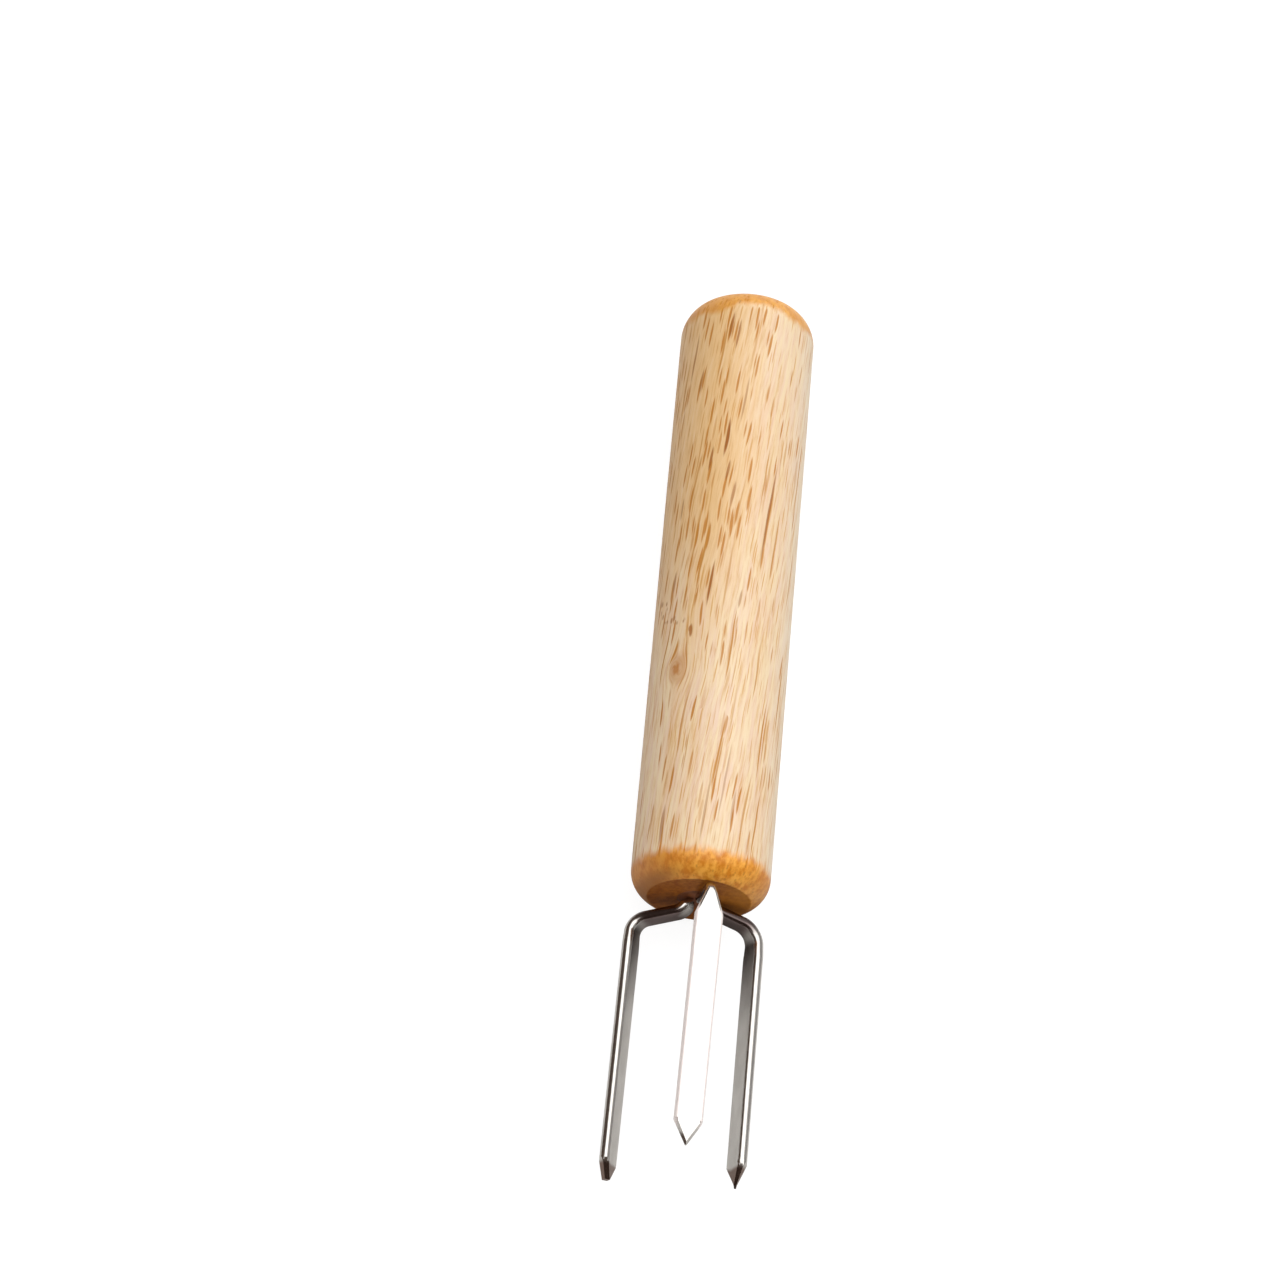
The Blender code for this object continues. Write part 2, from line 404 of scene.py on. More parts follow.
def make_glue(material):
    """The adhesive in the bore, dished between the bore's wall and the three tangs."""
    radius = BORE_RADIUS - GLUE_GAP
    bottom = BORE_DEPTH - 2 * GLUE_GAP
    rise = GLUE_CENTRE_DEPTH - GLUE_WALL_DEPTH
    mouth = radius + BORE_CHAMFER - GLUE_WALL_DEPTH
    profile = [(bottom, 0.0), (bottom, radius), (BORE_CHAMFER, radius)]
    for step in range(GLUE_STEPS + 1):
        share = 1 - step / GLUE_STEPS
        profile.append((GLUE_CENTRE_DEPTH - rise * share ** GLUE_DISH_POWER, mouth * share))
    mesh = finished_mesh("glue_fill", turned_body(profile, GLUE_SIDES), GLUE_SHARP_ANGLE)
    glue = add_piece("glue_fill", mesh, material, "glue_plug")
    for name, tine in TINES.items():
        shape = bent_tine(name + "_cutter", tine, GLUE_GAP)
        cutter = bpy.data.objects.new(name + "_cutter", shape)
        bpy.context.scene.collection.objects.link(cutter)
        carve(glue, cutter)
    return glue


# ---------------------------------------------------------------------------------------------
# Materials


class Nodes:
    """Adds nodes to a tree. Each value is a number, a colour, or another node's output."""

    def __init__(self, tree):
        self.tree = tree

    def add(self, kind, **settings):
        node = self.tree.nodes.new(kind)
        for name, value in settings.items():
            setattr(node, name, value)
        return node

    def feed(self, socket, value):
        if isinstance(value, bpy.types.NodeSocket):
            self.tree.links.new(value, socket)
        else:
            socket.default_value = value

    def math(self, operation, *values):
        node = self.add("ShaderNodeMath", operation=operation)
        for socket, value in zip(node.inputs, values):
            self.feed(socket, value)
        return node.outputs[0]

    def times(self, first, second):
        return self.math("MULTIPLY", first, second)

    def times_plus(self, first, second, more):
        return self.math("MULTIPLY_ADD", first, second, more)

    def plus(self, first, second):
        return self.math("ADD", first, second)

    def minus(self, first, second):
        return self.math("SUBTRACT", first, second)

    def larger(self, first, second):
        return self.math("MAXIMUM", first, second)

    def unsigned(self, value):
        return self.math("ABSOLUTE", value)

    def join(self, x, y, z):
        node = self.add("ShaderNodeCombineXYZ")
        for socket, value in zip(node.inputs, (x, y, z)):
            self.feed(socket, value)
        return node.outputs[0]

    def split(self, vector):
        node = self.add("ShaderNodeSeparateXYZ")
        self.feed(node.inputs[0], vector)
        return node.outputs

    def scaled(self, parts, scales):
        """A vector of three numbers, each times its own scale."""
        return self.join(*(self.times(part, scale) for part, scale in zip(parts, scales)))

    def ramp(self, value, low, high, to_low=0.0, to_high=1.0):
        """Runs smoothly from to_low where value is low to to_high where it is high."""
        node = self.add("ShaderNodeMapRange", interpolation_type="SMOOTHSTEP")
        for socket, given in zip(node.inputs, (value, low, high, to_low, to_high)):
            self.feed(socket, given)
        return node.outputs[0]

    def mix(self, share, first, second):
        node = self.add("ShaderNodeMix", data_type="RGBA")
        self.feed(node.inputs[0], share)
        self.feed(node.inputs[6], first)
        self.feed(node.inputs[7], second)
        return node.outputs[2]

    def noise(self, vector, detail=2.0, roughness=0.5, scale=1.0):
        node = self.add("ShaderNodeTexNoise")
        self.feed(node.inputs["Vector"], vector)
        self.feed(node.inputs["Scale"], scale)
        self.feed(node.inputs["Detail"], detail)
        self.feed(node.inputs["Roughness"], roughness)
        return node.outputs["Fac"]

    def cells(self, vector):
        """Each point's distance from its cell's centre, and a random number for the cell."""
        node = self.add("ShaderNodeTexVoronoi")
        self.feed(node.inputs["Vector"], vector)
        self.feed(node.inputs["Scale"], 1.0)
        return node.outputs["Distance"], self.split(node.outputs["Color"])[0]

    def bump(self, height, strength, distance):
        node = self.add("ShaderNodeBump")
        node.inputs["Strength"].default_value = strength
        node.inputs["Distance"].default_value = distance
        self.feed(node.inputs["Height"], height)
        return node.outputs[0]


def new_material(name):
    material = bpy.data.materials.new(name)
    material.use_nodes = True
    nodes = Nodes(material.node_tree)
    shader = material.node_tree.nodes["Principled BSDF"]
    return material, nodes, shader


# ---------------------------------------------------------------------------------------------
# Wood

# The handle's sizes in mm, as the wood's nodes count.
WOOD_RADIUS = HANDLE_RADIUS / MM
WOOD_LENGTH = HANDLE_LENGTH / MM
WOOD_FACE_RADIUS = FRONT_FACE_RADIUS / MM

# Vessels that stand out on the lacquered side, each as (distance from the front face in mm,
# angle round the axis in degrees, length in mm, width in mm, strength).
BOLD_VESSELS = (
    (69.5, 109.0, 7.0, 0.60, 1.00),
    (66.0, 122.0, 4.5, 0.50, 0.85),
    (45.5, 112.5, 8.0, 0.45, 0.95),
    (58.0, 67.5, 18.0, 0.45, 0.85),
    (88.5, 113.0, 5.0, 0.50, 0.85),
    (87.0, 106.5, 5.5, 0.42, 0.75),
    (43.3, 88.0, 3.4, 0.45, 0.55),
    (60.0, 100.0, 5.0, 0.50, 0.65),
    (64.0, 106.0, 3.8, 0.45, 0.75),
    (84.0, 148.0, 9.0, 0.50, 0.65),
    (79.5, 137.0, 4.5, 0.50, 0.65),
    (58.5, 146.0, 4.0, 0.50, 0.55),
    (46.5, 147.0, 4.0, 0.55, 0.65),
    (76.0, 96.0, 8.5, 0.40, 0.55),
    (7.5, 136.0, 7.0, 0.65, 0.60),
    (10.0, 100.0, 12.0, 0.40, 0.50),
    (14.5, 86.0, 13.0, 0.35, 0.45),
    (10.5, 77.0, 6.5, 0.55, 0.40),
    (38.0, 127.0, 2.4, 0.60, 0.80),
)
# How far the fibres turn round the axis per mm, in radians, and how much more on each further mm.
GRAIN_TURN = 0.0075
GRAIN_TURN_GROWTH = 0.00002
WAVER_SCALE = (0.16, 0.07, 0.16)
WAVER_ANGLE = 0.10

# The knot, and how the fibres part round it. It is longer along the handle than round it. Its
# rings turn by an angle per mm from its middle.
KNOT_ALONG = 32.0
KNOT_ANGLE = math.radians(136.0)
KNOT_SIZE = 1.5
KNOT_EDGE = (1.6, 0.3)
KNOT_SQUEEZE = 0.7
KNOT_PARTING = 2.4
KNOT_SOFTENING = 1.2
KNOT_RAGGEDNESS = 3.0
KNOT_RING_TURN = 5.0
KNOT_RING_STRENGTH = 0.16
KNOT_STRENGTH = 0.74

# Vessels as (width in mm, length in mm, share of the cell, shift of the pattern).
SHORT_VESSELS = (0.50, 6.0, 0.44, 3.7)
LONG_VESSELS = (0.62, 22.0, 0.32, 11.3)
FINE_VESSELS = (0.28, 6.0, 0.43, 23.1)
FLECKS = (0.75, 1.5, 0.42, 17.0)
VESSEL_CORE = 0.6
BOLD_EDGE = (1.1, 0.25)

# Where vessels show, as (from, to) ramps: mm along, mm across, and how strong they must be.
CROWD_ALONG = (32.0, 50.0)
CROWD_ACROSS = (6.0, -3.0)
CROWD_PATCHINESS = 0.9
CROWD_STRENGTH = 0.55
SHORT_SHOWN = (0.64, 1.0)
LONG_ALONG = (45.0, 18.0)
LONG_STRENGTH = 0.45
LONG_SHOWN = (0.46, 0.95)
FINE_SHOWN = (0.2, 1.0)

# Where the growth is warm, in mm along and across.
WARM_ALONG = (25.0, 70.0)
WARM_ACROSS = (5.0, -6.0)
WARM_BANDS = 1.5

# The flecks lie in a slanting row: how far butt-wards of the knot it starts, how much further it
# goes per mm aside, and where its middle is aside of the knot.
FLECK_ROW_START = 7.6
FLECK_ROW_SLANT = 0.72
FLECK_ROW_MIDDLE = 1.6
FLECK_ROW_WIDTH = (2.6, 0.6)
FLECK_ROW_LENGTH = (4.6, 2.6)
FLECK_SHOWN = (1.0, 1.55)

# Where lacquer-soaked end grain starts and is complete, in mm from each end, and how far it runs
# unevenly and up the vessels.
FRONT_SOAKED = (4.6, 2.7)
BUTT_SOAKED = (4.6, 3.0)
RAGGED_REACH = 2.2
VESSEL_REACH = 1.2
RIM_SHADE_REACH = (1.8, 0.3)
FACE_REACH = (0.12, 0.02)
FACE_EDGE = 0.3

# Colours of the growth.
PALE_PINK = (0.84, 0.635, 0.475, 1.0)
PALE_CREAM = (0.875, 0.71, 0.475, 1.0)
WARM_TAN = (0.83, 0.56, 0.28, 1.0)
# The paler cream on the right is painted light.
RIGHT_PAINTED_LIGHT_CREAM = (0.85, 0.74, 0.58, 1.0)
DARK_THREAD = (0.70, 0.42, 0.17, 1.0)
LIGHT_THREAD = (0.90, 0.77, 0.61, 1.0)

# Colours of the vessels, the knot and the flecks.
FINE_BROWN = (0.66, 0.33, 0.08, 1.0)
LONG_BROWN = (0.56, 0.25, 0.045, 1.0)
SHORT_BROWN = (0.55, 0.22, 0.03, 1.0)
BOLD_BROWN = (0.36, 0.115, 0.010, 1.0)
KNOT_BROWN = (0.52, 0.20, 0.04, 1.0)
FLECK_BROWN = (0.44, 0.18, 0.05, 1.0)

# Colours of the lacquer-soaked ends.
LIGHT_AMBER = (1.0, 0.48, 0.07, 1.0)
DARK_AMBER = (0.72, 0.23, 0.010, 1.0)
# The left amber is painted shade.
LEFT_PAINTED_SHADE_AMBER = (0.60, 0.225, 0.05, 1.0)
RIGHT_AMBER = (0.50, 0.17, 0.03, 1.0)
AMBER_VESSEL = (0.46, 0.13, 0.01, 1.0)
CROWN_AMBER = (0.60, 0.27, 0.02, 1.0)
# The rim's brown is painted shade, darkest underneath and on the left.
RIM_PAINTED_SHADE_BROWN = (0.42, 0.15, 0.02, 1.0)
LIGHT_END_GRAIN = (0.46, 0.15, 0.025, 1.0)
DARK_END_GRAIN = (0.32, 0.09, 0.014, 1.0)
# The lighter end grain on the right is painted light.
RIGHT_PAINTED_LIGHT_END_GRAIN = (0.70, 0.29, 0.05, 1.0)

# How much of each colour covers what is under it.
FINE_SHARE = 0.8
LONG_SHARE = 0.95
SHORT_SHARE = 0.92
FLECK_SHARE = 0.8
AMBER_VESSEL_SHARE = 0.4
CROWN_SHARE = 0.5
BUTT_SHARE = 0.85
RIM_SHADE_SHARE = 0.85
FACE_SHARE = 0.9

WOOD_ROUGHNESS = 0.34
THREAD_ROUGHNESS = 0.12
CUT_ROUGHNESS = 0.15
COAT_ROUGHNESS = 0.28
WOOD_BUMP_STRENGTH = 0.5
WOOD_BUMP_DISTANCE = 0.05 * MM


class Wood:
    """A point's place in the handle's wood, in mm and along the fibres, as node outputs."""

    def __init__(self, n):
        self.n = n
        place = n.split(n.add("ShaderNodeTexCoord").outputs["Object"])
        self.across = n.times(place[0], 1 / MM)
        self.along = n.times(n.minus(place[1], FRONT_FACE_Y), 1 / MM)
        self.up = n.times(n.minus(place[2], AXIS_HEIGHT), 1 / MM)
        height_square = n.times(self.up, self.up)
        self.radius = n.math("SQRT", n.times_plus(self.across, self.across, height_square))
        angle = n.math("ARCTAN2", self.up, self.across)
        self.knot_aside = n.times(n.minus(angle, KNOT_ANGLE), WOOD_RADIUS)
        knot_ahead = n.times(n.minus(self.along, KNOT_ALONG), KNOT_SQUEEZE)
        ahead_square = n.times(knot_ahead, knot_ahead)
        self.knot_square = n.times_plus(self.knot_aside, self.knot_aside, ahead_square)
        self.fibre_angle = self.follow_fibres(angle)
        self.fibre_x = n.times(self.radius, n.math("COSINE", self.fibre_angle))
        self.fibre_z = n.times(self.radius, n.math("SINE", self.fibre_angle))

    def follow_fibres(self, angle):
        """The fibres turn slowly to the right towards the butt, waver and part round the knot."""
        n = self.n
        push = n.times(self.knot_aside, KNOT_PARTING / WOOD_RADIUS)
        parting = n.math("DIVIDE", push, n.plus(self.knot_square, KNOT_SOFTENING))
        turn = n.times(self.along, n.times_plus(self.along, GRAIN_TURN_GROWTH, GRAIN_TURN))
        waver = n.noise(n.scaled((self.across, self.along, self.up), WAVER_SCALE))
        waver = n.times(n.minus(waver, 0.5), WAVER_ANGLE)
        return n.plus(n.minus(n.plus(angle, turn), parting), waver)

    def stretched(self, fineness, length, shift=0.0):
        """Coordinates stretched along the fibres, whose features are 1/fineness by length mm."""
        n = self.n
        return n.join(
            n.times_plus(self.fibre_x, fineness, shift),
            n.times_plus(self.along, 1 / length, shift),
            n.times_plus(self.fibre_z, fineness, shift),
        )

    def vessels(self, width, length, size, shift):
        """Spindles of wood vessel cut open by the turned surface, and each one's strength."""
        distance, strength = self.n.cells(self.stretched(1 / width, length, shift))
        return self.n.ramp(distance, size, size * VESSEL_CORE), strength


def grain_turn(along):
    """How far the fibres have turned round the handle's axis, in radians, at a distance in mm."""
    return along * (GRAIN_TURN + GRAIN_TURN_GROWTH * along)


def bold_vessels(n, wood):
    """How strongly a point is inside one of the bold vessels, each a thin ellipse."""
    strongest = 0.0
    for distance, angle, length, width, strength in BOLD_VESSELS:
        line = math.radians(angle) + grain_turn(distance)
        aside = n.times(n.minus(wood.fibre_angle, line), 2 * WOOD_RADIUS / width)
        ahead = n.times(n.minus(wood.along, distance), 2 / length)
        away = n.times_plus(aside, aside, n.times(ahead, ahead))
        strongest = n.larger(n.ramp(away, *BOLD_EDGE, 0.0, strength), strongest)
    return strongest


def short_vessels(n, wood):
    """Short vessels crowd on the upper left of the handle, in patches."""
    vessel, strength = wood.vessels(*SHORT_VESSELS)
    crowd = n.times(n.ramp(wood.along, *CROWD_ALONG), n.ramp(wood.across, *CROWD_ACROSS))
    patch = n.noise(wood.stretched(0.35, 14.0))
    crowd = n.times_plus(n.minus(patch, 0.5), CROWD_PATCHINESS, crowd)
    shown = n.times_plus(crowd, CROWD_STRENGTH, strength)
    return n.times(vessel, n.ramp(shown, *SHORT_SHOWN))


def long_vessels(n, wood):
    """Long thin vessels show most on the front third."""
    vessel, strength = wood.vessels(*LONG_VESSELS)
    shown = n.plus(strength, n.ramp(wood.along, *LONG_ALONG, 0.0, LONG_STRENGTH))
    return n.times(vessel, n.ramp(shown, *LONG_SHOWN))


def fine_vessels(n, wood):
    """Fine vessels lie everywhere."""
    vessel, strength = wood.vessels(*FINE_VESSELS)
    return n.times(vessel, n.ramp(strength, *FINE_SHOWN))


def growth_colour(n, wood, thread, tint):
    """Pale growth in front, painted paler on the right as painted light, warmer growth on the
    upper left.
    """
    warmth = n.times(n.ramp(wood.along, *WARM_ALONG), n.ramp(wood.across, *WARM_ACROSS))
    band = n.noise(wood.stretched(0.45, 40.0), detail=3.0, roughness=0.6)
    warmth = n.times_plus(n.minus(band, 0.5), WARM_BANDS, warmth)
    colour = n.mix(n.ramp(tint, 0.36, 0.62), PALE_PINK, PALE_CREAM)
    colour = n.mix(n.ramp(warmth, -0.2, 1.0), colour, WARM_TAN)
    # Painted light: the right side is painted paler, as if lit more from the right.
    colour = n.mix(n.ramp(wood.across, 5.5, 9.8, 0.0, 0.7), colour, RIGHT_PAINTED_LIGHT_CREAM)
    colour = n.mix(n.ramp(thread, 0.45, 0.72, 0.0, 0.7), colour, DARK_THREAD)
    return n.mix(n.ramp(thread, 0.48, 0.25, 0.0, 0.35), colour, LIGHT_THREAD)


def knot_share(n, wood, tint):
    """The knot and its rings."""
    distance = n.times_plus(n.minus(tint, 0.5), KNOT_RAGGEDNESS, n.math("SQRT", wood.knot_square))
    rings = n.math("SINE", n.times(distance, KNOT_RING_TURN))
    return n.times(
        n.ramp(distance, *(KNOT_SIZE * edge for edge in KNOT_EDGE)),
        n.times_plus(rings, KNOT_RING_STRENGTH, KNOT_STRENGTH),
    )


def fleck_share(n, wood):
    """Loose dark flecks, which show only in a slanting row beyond the knot."""
    row_line = n.times_plus(wood.knot_aside, FLECK_ROW_SLANT, FLECK_ROW_START)
    off_row = n.unsigned(n.minus(n.minus(wood.along, KNOT_ALONG), row_line))
    off_middle = n.unsigned(n.minus(wood.knot_aside, FLECK_ROW_MIDDLE))
    in_row = n.times(n.ramp(off_row, *FLECK_ROW_WIDTH), n.ramp(off_middle, *FLECK_ROW_LENGTH))
    fleck, strength = wood.vessels(*FLECKS)
    return n.times(fleck, n.ramp(n.plus(strength, in_row), *FLECK_SHOWN))


def amber_colour(n, wood, mottle, vessel):
    """Lacquer-soaked end grain: mottled, darker towards both sides and in the vessels; the darker
    left is painted shade.
    """
    amber = n.mix(n.ramp(mottle, 0.35, 0.66), LIGHT_AMBER, DARK_AMBER)
    # Painted shade: the left of the front rounding is painted darker.
    amber = n.mix(n.ramp(wood.across, 0.0, -9.0, 0.0, 0.6), amber, LEFT_PAINTED_SHADE_AMBER)
    amber = n.mix(n.ramp(wood.across, 4.0, 9.0, 0.0, 0.35), amber, RIGHT_AMBER)
    return n.mix(n.times(vessel, AMBER_VESSEL_SHARE), amber, AMBER_VESSEL)


def wood_material():
    material, n, shader = new_material("lacquered_hardwood")
    wood = Wood(n)
    short = short_vessels(n, wood)
    long = long_vessels(n, wood)
    fine = fine_vessels(n, wood)
    bold = bold_vessels(n, wood)

    # The lacquered side.
    thread = n.noise(wood.stretched(2.6, 6.0), detail=4.0, roughness=0.7)
    tint = n.noise(wood.stretched(1.3, 9.0, 31.0), detail=3.0, roughness=0.65)
    colour = growth_colour(n, wood, thread, tint)
    colour = n.mix(n.times(fine, FINE_SHARE), colour, FINE_BROWN)
    colour = n.mix(n.times(long, LONG_SHARE), colour, LONG_BROWN)
    colour = n.mix(n.times(short, SHORT_SHARE), colour, SHORT_BROWN)
    colour = n.mix(bold, colour, BOLD_BROWN)
    colour = n.mix(knot_share(n, wood, tint), colour, KNOT_BROWN)
    colour = n.mix(n.times(fleck_share(n, wood), FLECK_SHARE), colour, FLECK_BROWN)

    # End grain drinks the lacquer: the front rounding, the front face and the crown of the butt.
    ragged = n.noise(wood.stretched(0.8, 3.0, 5.0), detail=3.0)
    depth = n.times_plus(n.minus(ragged, 0.5), RAGGED_REACH, wood.along)
    depth = n.minus(depth, n.times(n.larger(long, bold), VESSEL_REACH))
    front_end = n.ramp(depth, *FRONT_SOAKED)
    flanks = n.ramp(n.unsigned(wood.across), 2.0, 6.0, 0.0, 1.2)
    butt_end = n.ramp(n.plus(depth, flanks), *(WOOD_LENGTH - soaked for soaked in BUTT_SOAKED))
    mottle = n.noise(wood.stretched(1.1, 1.6, 9.0), detail=4.0, roughness=0.6)
    amber = amber_colour(n, wood, mottle, n.larger(long, short))
    crown = n.mix(CROWN_SHARE, amber, CROWN_AMBER)
    colour = n.mix(n.times(butt_end, BUTT_SHARE), colour, crown)
    colour = n.mix(front_end, colour, amber)

    # Painted shade: the rim round the front face is painted darkest underneath and on the left,
    # where shade falls.
    rim_shade = n.larger(n.ramp(wood.up, 2.0, -4.0), n.ramp(wood.across, -3.0, -7.0))
    rim_shade = n.times(n.ramp(wood.along, *RIM_SHADE_REACH, 0.0, RIM_SHADE_SHARE), rim_shade)
    colour = n.mix(rim_shade, colour, RIM_PAINTED_SHADE_BROWN)

    # The front face is bare end grain, painted lighter towards the right as painted light.
    face = n.times(
        n.ramp(wood.along, *FACE_REACH),
        n.ramp(wood.radius, WOOD_FACE_RADIUS, WOOD_FACE_RADIUS - FACE_EDGE),
    )
    end_grain = n.mix(n.ramp(mottle, 0.35, 0.65), LIGHT_END_GRAIN, DARK_END_GRAIN)
    # Painted light: the right of the front face is painted lighter.
    end_grain = n.mix(n.ramp(wood.across, 1.0, 6.5, 0.0, 0.55), end_grain, RIGHT_PAINTED_LIGHT_END_GRAIN)
    colour = n.mix(n.times(face, FACE_SHARE), colour, end_grain)
    n.feed(shader.inputs["Base Color"], colour)

    cut = n.larger(n.larger(short, long), bold)
    cut = n.times(cut, n.ramp(front_end, 0.0, 1.0, 1.0, 0.25))
    rough = n.times_plus(thread, THREAD_ROUGHNESS, WOOD_ROUGHNESS)
    n.feed(shader.inputs["Roughness"], n.times_plus(cut, CUT_ROUGHNESS, rough))
    n.feed(shader.inputs["Specular IOR Level"], n.ramp(face, 0.0, 1.0, 0.3, 0.1))
    n.feed(shader.inputs["Coat Weight"], n.ramp(face, 0.0, 1.0, 0.1, 0.0))
    shader.inputs["Coat Roughness"].default_value = COAT_ROUGHNESS
    height = n.minus(n.minus(n.times(thread, 0.3), cut), n.times(fine, 0.3))
    n.feed(shader.inputs["Normal"], n.bump(height, WOOD_BUMP_STRENGTH, WOOD_BUMP_DISTANCE))
    return material


# ---------------------------------------------------------------------------------------------
# Steel and glue

# Scales per mm along, across and through the wire.
DRAWN_LINES_SCALE = (0.15 / MM, 9.0 / MM, 9.0 / MM)
STEEL_CLOUD_SCALE = (0.25 / MM, 0.6 / MM, 0.6 / MM)

# Where things start and are complete, in mm along the wire from the end of its tang.
ARM_SHADE_START = (16.4, 17.6)
ARM_SHADE_END = (24.6, 21.8)
FLAT_START = (23.0, 25.5)

# Where the edge of the strip starts and is complete, in mm from its middle.
EDGE_START = (1.35, 1.65)

# Where the ground tip starts and is complete, in lengths of the ground point from the tip.
TIP_START = (1.15, 0.9)

LIGHT_STEEL = (0.60, 0.585, 0.565, 1.0)
DARK_STEEL = (0.52, 0.505, 0.485, 1.0)
# The arms' dark steel is painted shade, for their dark reflection of the shaded table.
ARM_PAINTED_SHADE_STEEL = (0.17, 0.13, 0.125, 1.0)
# The ground tips' dark brown is painted shade.
GROUND_TIP_PAINTED_SHADE = (0.13, 0.07, 0.05, 1.0)
# The top tine's lighter edges are painted light.
EDGE_PAINTED_LIGHT_STEEL = (1.0, 0.95, 0.94, 1.0)
STEEL_ROUGHNESS = 0.12
LINES_ROUGHNESS = 0.10
CLOUD_ROUGHNESS = 0.06
STEEL_BUMP_STRENGTH = 0.25
STEEL_BUMP_DISTANCE = 0.01 * MM

LIGHT_GLUE = (0.34, 0.10, 0.022, 1.0)
DARK_GLUE = (0.22, 0.06, 0.014, 1.0)
GLUE_CLOUD_SCALE = 0.9 / MM
GLUE_ROUGHNESS = 0.35
GLUE_CLOUD_ROUGHNESS = 0.25
GLUE_BUMP_STRENGTH = 0.4
GLUE_BUMP_DISTANCE = 0.04 * MM


def steel_material(name, edge_roughness_and_light, tip_darkness):
    """Polished wire, whose arm is painted dark: painted shade for the dark reflection of the
    shaded table near the handle.

    An edge roughness above 0 makes the edges rougher and also paints them lighter, a painted
    highlight. A tip darkness paints the ground tips dark brown, painted shade for their dark
    reflection.
    """
    material, n, shader = new_material(name)
    place = n.split(n.add("ShaderNodeAttribute", attribute_name="flat").outputs["Vector"])
    to_tip = n.split(n.add("ShaderNodeAttribute", attribute_name="tip").outputs["Vector"])[0]
    lines = n.noise(n.scaled(place, DRAWN_LINES_SCALE), detail=3.0, roughness=0.6)
    cloud = n.noise(n.scaled(place, STEEL_CLOUD_SCALE))
    colour = n.mix(n.ramp(cloud, 0.3, 0.7), LIGHT_STEEL, DARK_STEEL)
    distance = n.times_plus(cloud, 2.0, n.times(place[0], 1 / MM))
    # Painted shade: the arm is painted dark.
    arm_shade = n.times(n.ramp(distance, *ARM_SHADE_END), n.ramp(distance, *ARM_SHADE_START))
    colour = n.mix(arm_shade, colour, ARM_PAINTED_SHADE_STEEL)
    # Painted shade: the ground tips are painted dark brown for their dark reflection.
    ground = n.ramp(n.times_plus(cloud, 0.3, to_tip), *TIP_START, 0.0, tip_darkness)
    colour = n.mix(ground, colour, GROUND_TIP_PAINTED_SHADE)
    rough = n.times_plus(lines, LINES_ROUGHNESS, STEEL_ROUGHNESS)
    rough = n.times_plus(cloud, CLOUD_ROUGHNESS, rough)
    if edge_roughness_and_light:
        aside = n.unsigned(n.times(place[1], 1 / MM))
        # Painted light: the edges are painted lighter as well as made rougher.
        edge = n.times(n.ramp(aside, *EDGE_START), n.ramp(distance, *FLAT_START))
        colour = n.mix(edge, colour, EDGE_PAINTED_LIGHT_STEEL)
        rough = n.times_plus(edge, edge_roughness_and_light, rough)
    shader.inputs["Metallic"].default_value = 1.0
    n.feed(shader.inputs["Base Color"], colour)
    n.feed(shader.inputs["Roughness"], rough)
    n.feed(shader.inputs["Normal"], n.bump(lines, STEEL_BUMP_STRENGTH, STEEL_BUMP_DISTANCE))
    return material


def glue_material():
    material, n, shader = new_material("cured_adhesive")
    place = n.add("ShaderNodeTexCoord").outputs["Object"]
    cloud = n.noise(place, detail=3.0, scale=GLUE_CLOUD_SCALE)
    n.feed(shader.inputs["Base Color"], n.mix(n.ramp(cloud, 0.35, 0.7), LIGHT_GLUE, DARK_GLUE))
    rough = n.times_plus(cloud, GLUE_CLOUD_ROUGHNESS, GLUE_ROUGHNESS)
    n.feed(shader.inputs["Roughness"], rough)
    n.feed(shader.inputs["Normal"], n.bump(cloud, GLUE_BUMP_STRENGTH, GLUE_BUMP_DISTANCE))
    return material


# ---------------------------------------------------------------------------------------------
# Camera, floor and light

CAMERA_AZIMUTH = -15.34
CAMERA_ELEVATION = 62.93
CAMERA_ROLL = 22.6
CAMERA_DISTANCE = 669.26 * MM
CAMERA_LENS = 129.3
SENSOR_WIDTH = 36.0
CLIP_START = 10 * MM
CLIP_END = 50.0
AIM_FROM_FRONT_FACE = Vector((-11.77 * MM, 39.05 * MM, 0.0))

FLOOR_HALF_SIZE = 6.0
FLOOR_DEPTH = 0.05 * MM
BOUNCE_DEPTH = 0.1 * MM
FLOOR_GREY = (0.15, 0.15, 0.15, 1.0)
FLOOR_GLOW = (1.0, 1.0, 1.0, 1.0)
FLOOR_GLOW_STRENGTH = 0.93
BOUNCE_WHITE = (0.74, 0.74, 0.73, 1.0)
BOUNCE_SHADE = (0.05, 0.035, 0.03, 1.0)

# The shade on the table round the front face: mm ahead of it, metres aside, and how much of it is
# left on the left.
SHADE_AHEAD = (17.0, -2.0)
SHADE_BEHIND = (-16.0, -8.0)
SHADE_ASIDE = (20 * MM, 11 * MM)
SHADE_TO_RIGHT = (-4 * MM, 3 * MM)
SHADE_ON_LEFT = 0.45

# The long soft light, as slants (sideways over upwards) and directions.
SOFT_LEFT_EDGE = (-0.66, -0.52)
SOFT_RIGHT_EDGE = (1.05, 0.80)
SOFT_LOW_EDGE = (0.16, 0.30)
SOFT_FRONT_EDGE = (-0.50, -0.25)
WALL_LEFT_EDGE = (0.25, 0.9)
WALL_LOW_EDGE = (-0.3, -0.05)
WALL_FRONT_EDGE = (-0.45, -0.2)
LOWEST_UPWARDS = 0.05
ROOM_LIGHT = (0.10, 0.07, 0.054, 1.0)
WALL_LIGHT = (0.42, 0.41, 0.40, 1.0)
SOFT_LIGHT = (2.34, 2.30, 2.26, 1.0)
BACKDROP_WHITE = (1.0, 1.0, 1.0, 1.0)


